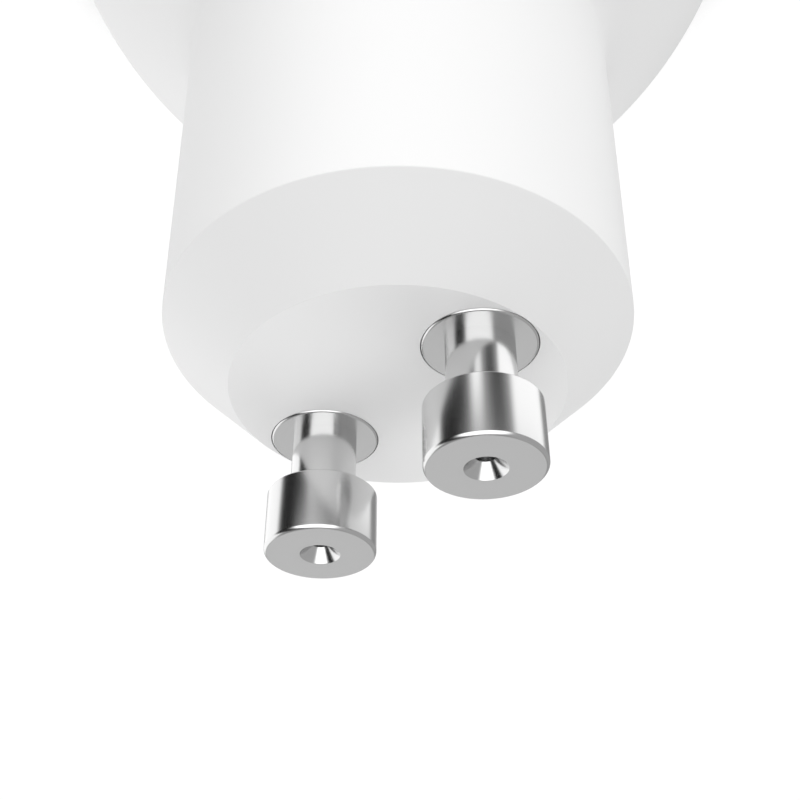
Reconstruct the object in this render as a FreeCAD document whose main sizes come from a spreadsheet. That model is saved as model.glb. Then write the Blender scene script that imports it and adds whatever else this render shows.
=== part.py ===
"""A twist-lock spotlight lamp: a white moulded cup and cap, two headed contact pins, a clear lens plate
over seven light emitters, an aluminium heat spreader and the driver that sits in the cap.

Millimetres. +Z is up and runs from the front rim, at height 0, to the tips of the contact pins.
The lamp stands on its front rim, the way it hangs in a ceiling fitting.
"""

import FreeCAD, Part
import Sketcher
import math
import os

from FreeCAD import Placement, Rotation, Vector
from types import SimpleNamespace

# The driving sizes, in millimetres and degrees.
SIZES = {
    # outside of the housing
    "body_height": 48.0,  # front rim to the cap's end face
    "rim_diameter": 50.0,  # front rim, outside
    "rim_height": 2.0,  # straight band at the front rim
    "cone_angle": 22.35,  # straight part of the cup, from the axis
    "cone_height": 11.2,  # straight part of the cup
    "cup_arc_radius": 33.0,  # rounded part of the cup
    "cap_face_margin": 0.05,  # end face of the cap, past the pins' flanges
    "cap_chamfer_width": 3.24,  # chamfer at the cap's end, across
    "cap_chamfer_height": 3.24,  # chamfer at the cap's end, along the axis
    "cap_draft_angle": 1.62,  # cap's side, from the axis
    "neck_fillet": 4.0,  # hollow where the cap runs into the cup
    "rim_fillet": 0.5,  # edges of the front rim's band
    # walls of the housing
    "cup_wall": 1.6,
    "cap_wall": 1.9,
    "cap_floor": 2.8,  # end wall of the cap, which carries the pins
    "lens_seat_depth": 3.0,  # front rim to the ledge under the lens
    "lens_ledge": 0.55,  # width of that ledge
    # contact pins
    "pin_pitch": 10.0,  # between the pins' axes
    "pin_length": 6.05,  # cap face to a pin's tip
    "pin_head_diameter": 5.0,  # head that locks in the holder
    "pin_head_length": 2.92,
    "pin_neck_diameter": 3.0,  # neck between cap and head
    "pin_flange_diameter": 5.0,  # flange let into the cap face
    "pin_flange_thickness": 0.8,
    "pin_flange_proud": 0.06,  # flange above the cap face
    "pin_shank_diameter": 3.0,  # shank through the cap's end wall
    "pin_rivet_lip": 0.3,  # end turned over inside the cap, past the shank
    "pin_rivet_thickness": 0.5,
    "pin_tip_radius": 0.18,  # rounded edge at the pin's tip
    "pin_bevel": 0.06,  # small bevels on head and flange
    "pin_centre_hole_depth": 1.6,  # blind hole in the tip
    "pin_countersink_width": 0.46,  # mouth of that hole, past the hole
    "pin_countersink_depth": 0.6,
    "pin_lead_bore_depth": 5.0,  # blind bore in the foot, for the lead
    "pin_clearance": 0.03,  # pin to its seat, on the radius
    # leads
    "lead_diameter": 0.7,  # bare lead
    "lead_clearance": 0.09,  # lead to a pin's bore, on the radius
    "lead_end_gap": 0.3,  # lead's end to the end of that bore
    "lead_joint": 4.0,  # lead soldered along the driver board
    "lead_end": 0.5,  # lead past the emitters' board
    "lead_hole_gap": 0.65,  # lead to its hole in the spreader, on the radius
    # heat spreader and the board on it
    "spreader_wall": 1.0,
    "spreader_clearance": 0.05,  # spreader to the housing
    "spreader_floor_height": 11.6,  # front rim to the face that carries the board
    "led_board_clearance": 1.7,  # board's edge to the spreader
    "led_board_thickness": 1.2,
    "led_edge_margin": 3.5,  # outer emitters' circle to the board's edge
    "led_width": 3.0,  # square emitter package
    "led_thickness": 0.7,
    "led_window_margin": 0.3,  # emitting window to the package's side
    "led_window_depth": 0.15,
    # screws that hold the board
    "screw_diameter": 2.0,
    "screw_head_diameter": 3.6,
    "screw_head_height": 1.2,
    "screw_end": 0.8,  # shank past the spreader
    "screw_clearance": 0.05,  # shank to its hole, on the radius
    # lens plate and its collimators
    "lens_recess": 0.8,  # lens face behind the front rim
    "lens_clearance": 0.1,  # lens to its seat, on the radius
    "lens_edge_chamfer": 0.4,
    "optic_spacing": 0.6,  # between neighbouring collimators at the plate
    "optic_cavity_clearance": 0.23,  # hollow over an emitter, past its corners
    "optic_cavity_depth": 2.4,
    "optic_foot_wall": 0.55,  # wall round that hollow
    "optic_gap": 0.2,  # collimator's foot to the board
    # driver board and its guides
    "driver_thickness": 1.2,
    "driver_edge_gap": 0.7,  # board's edge to the cap's bore
    "driver_end_gap": 1.2,  # board's ends to the spreader and to the pins
    "driver_clearance": 0.1,  # board to its guides and to what lies on it
    "guide_width": 1.0,  # each rib beside the board's edge
    "guide_overlap": 1.0,  # board's edge inside its guide
    "guide_length": 12.0,
    # parts on the driver board
    "bulk_capacitor_diameter": 5.5,
    "bulk_capacitor_length": 10.0,
    "bulk_capacitor_groove": 0.3,  # crimp near the can's end
    "inductor_diameter": 5.4,  # drum's end plates
    "inductor_length": 7.0,
    "inductor_plate": 1.2,  # each end plate
    "inductor_core_diameter": 2.6,
    "inductor_winding_inset": 0.3,  # winding inside the end plates' edge
    "film_capacitor_width": 6.0,
    "film_capacitor_depth": 3.6,
    "film_capacitor_height": 4.0,
    "fuse_diameter": 2.2,
    "fuse_length": 6.0,
    "bridge_width": 4.7,
    "bridge_thickness": 2.4,
    "bridge_height": 3.9,
    "chip_width": 4.9,
    "chip_thickness": 1.5,
    "chip_height": 3.9,
    "part_gap": 0.2,  # between neighbours on the driver board
}
OUTER_EMITTERS = 6
FULL_TURN = 360.0


class Term:
    """A size worked out from the sheet: the text that ties it to the cells, and its present value."""

    def __init__(self, text, value):
        self.text = text
        self.value = value

    def joined(self, sign, other, value):
        return Term(f"({self.text} {sign} {term(other).text})", value)

    def __add__(self, other):
        return self.joined("+", other, self.value + term(other).value)

    def __sub__(self, other):
        return self.joined("-", other, self.value - term(other).value)

    def __mul__(self, other):
        return self.joined("*", other, self.value * term(other).value)

    def __truediv__(self, other):
        return self.joined("/", other, self.value / term(other).value)

    def __neg__(self):
        return Term(f"(0 - {self.text})", -self.value)


def term(item):
    """The item itself, or a plain number as a term."""
    return item if isinstance(item, Term) else Term(repr(item), item)


def square(length):
    return length * length


def sine(angle):
    return Term(f"sin({angle.text})", math.sin(math.radians(angle.value)))


def cosine(angle):
    return Term(f"cos({angle.text})", math.cos(math.radians(angle.value)))


def tangent(angle):
    return Term(f"tan({angle.text})", math.tan(math.radians(angle.value)))


def root(area):
    return Term(f"sqrt({area.text})", math.sqrt(area.value))


S = SimpleNamespace(**{alias: Term(f"Sizes.{alias}", value) for alias, value in SIZES.items()})

# Places on the cup. A straight cone rises from the rim's band, and an arc carries it on to the cap.
RIM_R = S.rim_diameter / 2
CONE_TOP_R = RIM_R - S.cone_height * tangent(S.cone_angle)
CONE_TOP_Z = S.rim_height + S.cone_height
ARC_R = CONE_TOP_R - S.cup_arc_radius * cosine(S.cone_angle)
ARC_Z = CONE_TOP_Z - S.cup_arc_radius * sine(S.cone_angle)
CUP_INSIDE_R = CONE_TOP_R - S.cup_wall * cosine(S.cone_angle)
CUP_INSIDE_Z = CONE_TOP_Z - S.cup_wall * sine(S.cone_angle)

# Places on the cap. Its end face just holds the two flanges, and its side widens towards the cup.
PIN_X = S.pin_pitch / 2
FACE_R = PIN_X + S.pin_flange_diameter / 2 + S.cap_face_margin
CAP_R = FACE_R + S.cap_chamfer_width
CHAMFER_Z = S.body_height - S.cap_chamfer_height
DRAFT = tangent(S.cap_draft_angle)
BORE_R = CAP_R - S.cap_wall / cosine(S.cap_draft_angle)
FLOOR_Z = S.body_height - S.cap_floor
# Inside, the chamfer is followed a cap wall below it, from the bore to the end wall.
STEEPNESS = S.cap_chamfer_height / S.cap_chamfer_width
CHAMFER_SLANT = root(square(S.cap_chamfer_height) + square(S.cap_chamfer_width))
CHAMFER_DROP = S.cap_wall * CHAMFER_SLANT / S.cap_chamfer_width
FLOOR_R = FACE_R + (S.cap_floor - CHAMFER_DROP) / STEEPNESS
BORE_TOP_DROP = (CHAMFER_DROP - (CAP_R - BORE_R) * STEEPNESS) / (term(1) - DRAFT * STEEPNESS)
BORE_TOP_Z = CHAMFER_Z - BORE_TOP_DROP
BORE_TOP_R = BORE_R + BORE_TOP_DROP * DRAFT


def meeting(side, arc):
    """Where the drafted side of the cap, given by its radius at the chamfer, meets an arc of the cup."""
    reach = side - ARC_R + (CHAMFER_Z - ARC_Z) * DRAFT
    spread = term(1) + square(DRAFT)
    rise = (reach * DRAFT + root(square(arc) * spread - square(reach))) / spread
    return ARC_R + reach - DRAFT * rise, ARC_Z + rise


def cup_inside(height, inset=0):
    """Radius of the cup's inner cone at a height, less an inset square to its wall."""
    cone = CUP_INSIDE_R + (CUP_INSIDE_Z - height) * tangent(S.cone_angle)
    return cone - term(inset) / cosine(S.cone_angle)


NECK = meeting(CAP_R, S.cup_arc_radius)
BORE_NECK = meeting(BORE_R, S.cup_arc_radius - S.cup_wall)
SEAT_R = cup_inside(S.lens_seat_depth) + S.lens_ledge

# Places on the spreader and the emitters' board.
SPREADER_TOP_Z = S.spreader_floor_height + S.spreader_wall
SPREADER_INSET = S.spreader_clearance + S.spreader_wall
BOARD_R = cup_inside(S.spreader_floor_height, SPREADER_INSET) - S.led_board_clearance
BOARD_FACE_Z = S.spreader_floor_height - S.led_board_thickness
EMITTER_R = BOARD_R - S.led_edge_margin
# Leads and screws pass halfway between the middle emitter and the outer ones.
PASSAGE = EMITTER_R / 2
SCREW_HOLE_R = S.screw_diameter / 2 + S.screw_clearance
LEAD_R = S.lead_diameter / 2

# Places on the driver board, which stands just behind the leads.
PIN_DROP = S.cap_floor + S.pin_rivet_thickness
DRIVER_BOTTOM_Z = SPREADER_TOP_Z + S.driver_end_gap
DRIVER_TOP_Z = S.body_height - PIN_DROP - S.driver_end_gap
DRIVER_MIDDLE_Z = (DRIVER_BOTTOM_Z + DRIVER_TOP_Z) / 2
DRIVER_HALF_WIDTH = BORE_TOP_R - S.driver_edge_gap
DRIVER_FRONT_Y = LEAD_R + S.driver_clearance
DRIVER_BACK_Y = DRIVER_FRONT_Y + S.driver_thickness

doc = FreeCAD.newDocument("spotlight_lamp")
sheet = doc.addObject("Spreadsheet::Sheet", "Sizes")
for row, (alias, value) in enumerate(SIZES.items(), start=1):
    sheet.set(f"A{row}", alias)
    sheet.set(f"B{row}", str(value))
    sheet.setAlias(f"B{row}", alias)
doc.recompute()
pieces = []


def bind(item, name, amount):
    """Ties a property to the sheet."""
    item.setExpression(name, term(amount).text)


def place(item, x=0, y=0, z=0):
    """Ties a piece's place to the sheet and counts it as a piece of the lamp."""
    for axis, amount in (("x", x), ("y", y), ("z", z)):
        bind(item, f".Placement.Base.{axis}", amount)
    pieces.append(item)


def new_body(label):
    body = doc.addObject("PartDesign::Body", label)
    body.Label = label
    return body


def origin_feature(body, role):
    return next(feature for feature in body.Origin.OriginFeatures if feature.Role == role)


def new_sketch(body, name, role, height=0):
    """A sketch on one of the body's own origin planes, raised square to it."""
    sketch = body.newObject("Sketcher::SketchObject", name)
    sketch.AttachmentSupport = [(origin_feature(body, role), "")]
    sketch.MapMode = "FlatFace"
    bind(sketch, ".AttachmentOffset.Base.z", height)
    return sketch


def hold(sketch, kind, geometry, point, amount):
    """The distance of a point from the sketch's origin, tied to the sheet. 0 puts it on the axis."""
    if amount == 0:
        axis = -2 if kind == "DistanceX" else -1
        sketch.addConstraint(Sketcher.Constraint("PointOnObject", geometry, point, axis))
        return
    distance = Sketcher.Constraint(kind, -1, 1, geometry, point, amount.value)
    bind(sketch, f"Constraints[{sketch.addConstraint(distance)}]", amount)


def hold_radius(sketch, geometry, radius):
    limit = Sketcher.Constraint("Radius", geometry, radius.value)
    bind(sketch, f"Constraints[{sketch.addConstraint(limit)}]", radius)


def add_arc(sketch, start, end, radius, side):
    """An arc between two points. Gives its number and which of its ends lie at start and end."""
    way = end - start
    across = Vector(-way.y, way.x, 0).normalize()
    height = math.sqrt(radius.value**2 - (way.Length / 2) ** 2)
    centre = (start + end) * 0.5 + across * side * height
    first, last = (start, end) if side > 0 else (end, start)
    angles = [math.atan2(point.y - centre.y, point.x - centre.x) for point in (first, last)]
    circle = Part.Circle(centre, Vector(0, 0, 1), radius.value)
    index = sketch.addGeometry(Part.ArcOfCircle(circle, *angles))
    hold_radius(sketch, index, radius)
    return (index, 1, 2) if side > 0 else (index, 2, 1)


def outline(sketch, corners, arcs=None):
    """A closed outline through corners. arcs maps the number of a corner to the radius of the arc that
    leaves it and to the side of that arc's centre: 1 left of the way, -1 right of it."""
    arcs = arcs or {}
    points = [Vector(term(across).value, term(up).value, 0) for across, up in corners]
    runs = []
    for number, start in enumerate(points):
        end = points[(number + 1) % len(points)]
        if number in arcs:
            runs.append(add_arc(sketch, start, end, *arcs[number]))
        else:
            runs.append((sketch.addGeometry(Part.LineSegment(start, end)), 1, 2))
    for number, (index, first, last) in enumerate(runs):
        after, after_first, _ = runs[(number + 1) % len(runs)]
        sketch.addConstraint(Sketcher.Constraint("Coincident", index, last, after, after_first))
        hold(sketch, "DistanceX", index, first, corners[number][0])
        hold(sketch, "DistanceY", index, first, corners[number][1])


def circle_at(sketch, across, up, radius):
    centre = Vector(term(across).value, term(up).value, 0)
    index = sketch.addGeometry(Part.Circle(centre, Vector(0, 0, 1), radius.value))
    hold_radius(sketch, index, radius)
    hold(sketch, "DistanceX", index, 3, across)
    hold(sketch, "DistanceY", index, 3, up)


def revolve(body, corners, arcs=None):
    """A full turn of an outline about the body's upright axis."""
    sketch = new_sketch(body, f"{body.Label}_profile", "XZ_Plane")
    outline(sketch, corners, arcs)
    turn = body.newObject("PartDesign::Revolution", f"{body.Label}_turn")
    turn.Profile = sketch
    turn.ReferenceAxis = (sketch, ["V_Axis"])
    turn.Angle = FULL_TURN
    doc.recompute()
    return turn


def pad(body, sketch, length):
    feature = body.newObject("PartDesign::Pad", f"{sketch.Label}_pad")
    feature.Profile = sketch
    bind(feature, "Length", length)
    doc.recompute()
    return feature


def mirror(body, feature, role):
    """The same feature on the other side of one of the body's origin planes."""
    copy = body.newObject("PartDesign::Mirrored", f"{feature.Label}_mirrored")
    copy.Originals = [feature]
    copy.MirrorPlane = (origin_feature(body, role), [""])
    body.Tip = copy
    doc.recompute()


def hole_pair(body, name, across, up, radius, role):
    """A round hole right through the body, and the same one across an origin plane."""
    sketch = new_sketch(body, name, "XY_Plane")
    circle_at(sketch, across, up, radius)
    feature = body.newObject("PartDesign::Pocket", f"{name}_pocket")
    feature.Profile = sketch
    feature.Type = "ThroughAll"
    feature.Midplane = True
    doc.recompute()
    mirror(body, feature, role)


def ring_edge(shape, radius, height):
    """Name of the round edge about the axis that runs at a radius and a height."""
    close = 1e-3
    for number, edge in enumerate(shape.Edges, start=1):
        point = edge.Vertexes[0].Point
        away = max(abs(math.hypot(point.x, point.y) - radius.value), abs(point.z - term(height).value))
        if away < close and isinstance(edge.Curve, Part.Circle):
            return f"Edge{number}"
    raise LookupError(f"{shape} has no round edge at {radius.text}")


def round_edges(body, base, radius, rings):
    feature = body.newObject("PartDesign::Fillet", f"{body.Label}_fillet")
    feature.Base = (base, [ring_edge(base.Shape, *ring) for ring in rings])
    bind(feature, "Radius", radius)
    doc.recompute()
    return feature


def box(label, width, depth, height, x, y, z):
    """A block given by its sizes and its lowest corner."""
    block = doc.addObject("Part::Box", label)
    block.Label = label
    for name, amount in (("Length", width), ("Width", depth), ("Height", height)):
        bind(block, name, amount)
    place(block, x, y, z)


def rod(label, diameter, length):
    """An upright round rod at its own origin."""
    cylinder = doc.addObject("Part::Cylinder", label)
    cylinder.Label = label
    bind(cylinder, "Radius", diameter / 2)
    bind(cylinder, "Height", length)
    return cylinder


def make_housing():
    """Cup and cap, one moulding, with ribs that guide the driver board and stepped seats for the pins."""
    body = new_body("housing")
    turn = revolve(
        body,
        [
            (SEAT_R, 0),
            (RIM_R, 0),
            (RIM_R, S.rim_height),
            (CONE_TOP_R, CONE_TOP_Z),
            NECK,
            (CAP_R, CHAMFER_Z),
            (FACE_R, S.body_height),
            (0, S.body_height),
            (0, FLOOR_Z),
            (FLOOR_R, FLOOR_Z),
            (BORE_TOP_R, BORE_TOP_Z),
            BORE_NECK,
            (CUP_INSIDE_R, CUP_INSIDE_Z),
            (cup_inside(S.lens_seat_depth), S.lens_seat_depth),
            (SEAT_R, S.lens_seat_depth),
        ],
        {3: (S.cup_arc_radius, 1), 11: (S.cup_arc_radius - S.cup_wall, -1)},
    )
    neck = round_edges(body, turn, S.neck_fillet, [NECK])
    round_edges(body, neck, S.rim_fillet, [(RIM_R, 0), (RIM_R, S.rim_height)])
    add_guides(body)
    add_pin_seats(body)
    place(body)


def add_guides(body):
    """Two ribs on each side of the cap's bore, rooted in its wall, with the board's edge between them."""
    sketch = new_sketch(body, "guides", "XY_Plane", BORE_TOP_Z - S.guide_length)
    root_x = CAP_R - S.cap_wall / 2
    edge_x = DRIVER_HALF_WIDTH - S.guide_overlap
    back = DRIVER_BACK_Y + S.driver_clearance
    front = DRIVER_FRONT_Y - S.driver_clearance - S.guide_width
    for near in (front, back):
        far = near + S.guide_width
        outline(sketch, [(edge_x, near), (root_x, near), (root_x, far), (edge_x, far)])
    mirror(body, pad(body, sketch, S.guide_length), "YZ_Plane")


def add_pin_seats(body):
    """A stepped hole for each pin: its shank goes through the end wall, its flange lies in the step."""
    sketch = new_sketch(body, "pin_seats", "XY_Plane", S.body_height)
    circle_at(sketch, PIN_X, 0, S.pin_shank_diameter / 2 + S.pin_clearance)
    doc.recompute()
    hole = body.newObject("PartDesign::Hole", "pin_hole")
    hole.Profile = sketch
    hole.DepthType = "Dimension"
    hole.HoleCutType = "Counterbore"
    hole.HoleCutCustomValues = True
    bind(hole, "Depth", S.cap_floor * 2)
    bind(hole, "Diameter", S.pin_shank_diameter + S.pin_clearance * 2)
    bind(hole, "HoleCutDiameter", S.pin_flange_diameter + S.pin_clearance * 2)
    bind(hole, "HoleCutDepth", S.pin_flange_thickness - S.pin_flange_proud)
    doc.recompute()
    mirror(body, hole, "YZ_Plane")


def make_contact_pin(label, x):
    """A turned pin: head, neck, flange, shank and the end turned over inside the cap. Its tip has the
    countersunk centre hole that it was turned on, and its foot is bored for the lead."""
    body = new_body(label)
    bore_r = LEAD_R + S.lead_clearance
    shank_r = S.pin_shank_diameter / 2
    rivet_r = shank_r + S.pin_rivet_lip
    flange_r = S.pin_flange_diameter / 2
    flange_top = PIN_DROP + S.pin_flange_proud
    flange_base = flange_top - S.pin_flange_thickness
    neck_r = S.pin_neck_diameter / 2
    head_r = S.pin_head_diameter / 2
    tip = PIN_DROP + S.pin_length
    head_base = tip - S.pin_head_length
    centre_hole_end = tip - S.pin_centre_hole_depth
    revolve(
        body,
        [
            (0, centre_hole_end),
            (bore_r, centre_hole_end),
            (bore_r, tip - S.pin_countersink_depth),
            (bore_r + S.pin_countersink_width, tip),
            (head_r - S.pin_tip_radius, tip),
            (head_r, tip - S.pin_tip_radius),
            (head_r, head_base + S.pin_bevel),
            (head_r - S.pin_bevel, head_base),
            (neck_r, head_base),
            (neck_r, flange_top),
            (flange_r - S.pin_bevel, flange_top),
            (flange_r, flange_top - S.pin_bevel),
            (flange_r, flange_base),
            (shank_r, flange_base),
            (shank_r, S.pin_rivet_thickness),
            (rivet_r, S.pin_rivet_thickness),
            (rivet_r, 0),
            (bore_r, 0),
            (bore_r, S.pin_lead_bore_depth),
            (0, S.pin_lead_bore_depth),
        ],
        {4: (S.pin_tip_radius, -1)},
    )
    place(body, x=x, z=S.body_height - PIN_DROP)


def make_heat_spreader():
    """A stamped aluminium cup that lines the housing. Its floor carries the emitters' board."""
    body = new_body("heat_spreader")
    revolve(
        body,
        [
            (0, S.spreader_floor_height),
            (cup_inside(S.spreader_floor_height, SPREADER_INSET), S.spreader_floor_height),
            (cup_inside(S.lens_seat_depth, SPREADER_INSET), S.lens_seat_depth),
            (cup_inside(S.lens_seat_depth, S.spreader_clearance), S.lens_seat_depth),
            (cup_inside(SPREADER_TOP_Z, S.spreader_clearance), SPREADER_TOP_Z),
            (0, SPREADER_TOP_Z),
        ],
    )
    hole_pair(body, "spreader_lead_hole", PASSAGE, 0, LEAD_R + S.lead_hole_gap, "YZ_Plane")
    hole_pair(body, "spreader_screw_hole", 0, PASSAGE, SCREW_HOLE_R, "XZ_Plane")
    place(body)


def make_led_board():
    """The round board that carries the emitters, flat on the spreader's floor."""
    body = new_body("led_board")
    disc = new_sketch(body, "board_disc", "XY_Plane")
    circle_at(disc, 0, 0, BOARD_R)
    pad(body, disc, S.led_board_thickness)
    hole_pair(body, "board_lead_hole", PASSAGE, 0, LEAD_R + S.lead_clearance, "YZ_Plane")
    hole_pair(body, "board_screw_hole", 0, PASSAGE, SCREW_HOLE_R, "XZ_Plane")
    place(body, z=BOARD_FACE_Z)


def make_emitter(number, x, y):
    """A square emitter package with a round window sunk into the side that faces the lens."""
    body = new_body(f"led_{number}")
    half = S.led_width / 2
    package = new_sketch(body, f"led_{number}_package", "XY_Plane")
    outline(package, [(0, 0), (S.led_width, 0), (S.led_width, S.led_width), (0, S.led_width)])
    pad(body, package, S.led_thickness)
    window = new_sketch(body, f"led_{number}_window", "XY_Plane")
    circle_at(window, half, half, half - S.led_window_margin)
    sunk = body.newObject("PartDesign::Pocket", f"led_{number}_sunk")
    sunk.Profile = window
    sunk.Reversed = True
    bind(sunk, "Length", S.led_window_depth)
    doc.recompute()
    place(body, x - half, y - half, BOARD_FACE_Z - S.led_thickness)


def make_emitters():
    """One emitter on the axis and a circle of them round it."""
    make_emitter(1, term(0), term(0))
    for number in range(OUTER_EMITTERS):
        turn = term(FULL_TURN / OUTER_EMITTERS * number)
        make_emitter(number + 2, EMITTER_R * cosine(turn), EMITTER_R * sine(turn))


def make_board_screws():
    """Two pan-head screws, through the emitters' board into the spreader."""
    shank_length = S.led_board_thickness + S.spreader_wall + S.screw_end
    screws = []
    for side, y in (("front", -PASSAGE), ("back", PASSAGE)):
        head = rod(f"screw_head_{side}", S.screw_head_diameter, S.screw_head_height)
        shank = rod(f"screw_shank_{side}", S.screw_diameter, shank_length)
        for item, z in ((head, BOARD_FACE_Z - S.screw_head_height), (shank, BOARD_FACE_Z)):
            bind(item, ".Placement.Base.y", y)
            bind(item, ".Placement.Base.z", z)
        screw = doc.addObject("Part::Fuse", f"screw_{side}")
        screw.Base = head
        screw.Tool = shank
        screws.append(screw)
    group = doc.addObject("Part::Compound", "board_screws")
    group.Label = "board_screws"
    group.Links = screws
    pieces.append(group)


def make_lens():
    """A clear plate in the rim's seat with a hollow-footed collimator over each emitter, one moulding."""
    body = new_body("lens")
    plate_r = SEAT_R - S.lens_clearance
    mouth_r = PASSAGE - S.optic_spacing / 2
    cavity_r = S.led_width / root(term(2)) + S.optic_cavity_clearance
    foot_r = cavity_r + S.optic_foot_wall
    foot_z = BOARD_FACE_Z - S.optic_gap
    cavity_z = foot_z - S.optic_cavity_depth
    revolve(
        body,
        [
            (0, S.lens_recess),
            (plate_r - S.lens_edge_chamfer, S.lens_recess),
            (plate_r, S.lens_recess + S.lens_edge_chamfer),
            (plate_r, S.lens_seat_depth),
            (mouth_r, S.lens_seat_depth),
            (foot_r, foot_z),
            (cavity_r, foot_z),
            (cavity_r, cavity_z),
            (0, cavity_z),
        ],
    )
    cone = body.newObject("PartDesign::AdditiveCone", "collimator")
    bind(cone, "Radius1", mouth_r)
    bind(cone, "Radius2", foot_r)
    bind(cone, "Height", foot_z - S.lens_seat_depth)
    bind(cone, ".Placement.Base.x", EMITTER_R)
    bind(cone, ".Placement.Base.z", S.lens_seat_depth)
    doc.recompute()
    cavity = body.newObject("PartDesign::SubtractiveCylinder", "collimator_cavity")
    bind(cavity, "Radius", cavity_r)
    bind(cavity, "Height", S.optic_cavity_depth)
    bind(cavity, ".Placement.Base.x", EMITTER_R)
    bind(cavity, ".Placement.Base.z", cavity_z)
    doc.recompute()
    pattern = body.newObject("PartDesign::PolarPattern", "collimators")
    pattern.Originals = [cone, cavity]
    pattern.Axis = (origin_feature(body, "Z_Axis"), [""])
    pattern.Angle = FULL_TURN
    pattern.Occurrences = OUTER_EMITTERS
    body.Tip = pattern
    doc.recompute()
    place(body)


def make_driver_board():
    """The upright board in the cap, its edges between the guides."""
    box(
        "driver_board",
        DRIVER_HALF_WIDTH * 2,
        S.driver_thickness,
        DRIVER_TOP_Z - DRIVER_BOTTOM_Z,
        -DRIVER_HALF_WIDTH,
        DRIVER_FRONT_Y,
        DRIVER_BOTTOM_Z,
    )


def make_leads():
    """Straight bare leads: two from the pins' bores down to the board, two from it to the emitters."""
    pin_lead_top = S.body_height - PIN_DROP + S.pin_lead_bore_depth - S.lead_end_gap
    pin_lead_foot = DRIVER_TOP_Z - S.lead_joint
    led_lead_top = DRIVER_BOTTOM_Z + S.lead_joint
    led_lead_foot = BOARD_FACE_Z - S.lead_end
    for side, pin_x, led_x in (("left", -PIN_X, -PASSAGE), ("right", PIN_X, PASSAGE)):
        pin_lead = rod(f"pin_lead_{side}", S.lead_diameter, pin_lead_top - pin_lead_foot)
        place(pin_lead, x=pin_x, z=pin_lead_foot)
        led_lead = rod(f"led_lead_{side}", S.lead_diameter, led_lead_top - led_lead_foot)
        place(led_lead, x=led_x, z=led_lead_foot)


def make_bulk_capacitor():
    """The can that smooths the supply, upright against the board, with the crimp near its lower end."""
    body = new_body("bulk_capacitor")
    radius = S.bulk_capacitor_diameter / 2
    groove = S.bulk_capacitor_groove
    revolve(
        body,
        [
            (0, 0),
            (radius, 0),
            (radius, groove * 3),
            (radius - groove, groove * 4),
            (radius, groove * 5),
            (radius, S.bulk_capacitor_length - groove),
            (radius - groove, S.bulk_capacitor_length),
            (0, S.bulk_capacitor_length),
        ],
    )
    bottom = DRIVER_MIDDLE_Z - S.bulk_capacitor_length / 2
    place(body, -(radius + S.part_gap), DRIVER_FRONT_Y - S.driver_clearance - radius, bottom)


def make_inductor():
    """A drum core and the winding between its end plates, upright beside the can."""
    plate_r = S.inductor_diameter / 2
    core_r = S.inductor_core_diameter / 2
    winding_r = plate_r - S.inductor_winding_inset
    lower = S.inductor_plate
    upper = S.inductor_length - S.inductor_plate
    core = new_body("inductor_core")
    revolve(
        core,
        [
            (0, 0),
            (plate_r, 0),
            (plate_r, lower),
            (core_r, lower),
            (core_r, upper),
            (plate_r, upper),
            (plate_r, S.inductor_length),
            (0, S.inductor_length),
        ],
    )
    winding = new_body("inductor_winding")
    revolve(winding, [(core_r, lower), (winding_r, lower), (winding_r, upper), (core_r, upper)])
    bottom = DRIVER_MIDDLE_Z - S.inductor_length / 2
    for item in (core, winding):
        place(item, plate_r + S.part_gap, DRIVER_FRONT_Y - S.driver_clearance - plate_r, bottom)


def make_block_parts():
    """The parts on the driver board that are plain blocks, and the fuse resistor."""
    box(
        "film_capacitor",
        S.film_capacitor_width,
        S.film_capacitor_depth,
        S.film_capacitor_height,
        -S.film_capacitor_width / 2,
        DRIVER_FRONT_Y - S.driver_clearance - S.film_capacitor_depth,
        DRIVER_BOTTOM_Z + S.part_gap,
    )
    box(
        "bridge_rectifier",
        S.bridge_width,
        S.bridge_thickness,
        S.bridge_height,
        -S.bridge_width / 2,
        DRIVER_BACK_Y,
        DRIVER_TOP_Z - S.lead_joint - S.bridge_height,
    )
    box(
        "driver_chip",
        S.chip_width,
        S.chip_thickness,
        S.chip_height,
        -S.chip_width / 2,
        DRIVER_BACK_Y,
        DRIVER_BOTTOM_Z + S.lead_joint,
    )
    fuse = rod("fuse_resistor", S.fuse_diameter, S.fuse_length)
    fuse.Placement = Placement(Vector(), Rotation(Vector(0, 1, 0), FULL_TURN / 4))
    fuse_y = DRIVER_BACK_Y + S.driver_clearance + S.fuse_diameter / 2
    place(fuse, -S.fuse_length / 2, fuse_y, DRIVER_MIDDLE_Z)


def check():
    """Stops if an object failed or a piece has no sound shape."""
    failed = [item.Name for item in doc.Objects if {"Invalid", "Error"} & set(item.State)]
    shapes = {piece.Label: piece.Shape for piece in pieces}
    unsound = [name for name, shape in shapes.items() if shape.isNull() or not shape.isValid()]
    if failed or unsound:
        raise RuntimeError(f"failed: {failed}, no sound shape: {unsound}")


def write():
    """One file for each piece, named after it."""
    os.makedirs("parts", exist_ok=True)
    for piece in pieces:
        piece.Shape.exportStep(f"parts/{piece.Label}.step")
        print(piece.Label, round(piece.Shape.Volume, 2))


make_housing()
make_contact_pin("contact_pin_left", -PIN_X)
make_contact_pin("contact_pin_right", PIN_X)
make_heat_spreader()
make_led_board()
make_emitters()
make_board_screws()
make_lens()
make_driver_board()
make_leads()
make_bulk_capacitor()
make_inductor()
make_block_parts()
doc.recompute()
check()
write()
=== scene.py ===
"""Looks for the twist-lock spotlight lamp: a moulded white cup and cap, two turned contact pins, a clear lens
plate and what lies behind it. Metres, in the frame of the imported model."""

import math
from typing import NamedTuple

import bmesh
import bpy
from mathutils import Matrix, Vector


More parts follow.
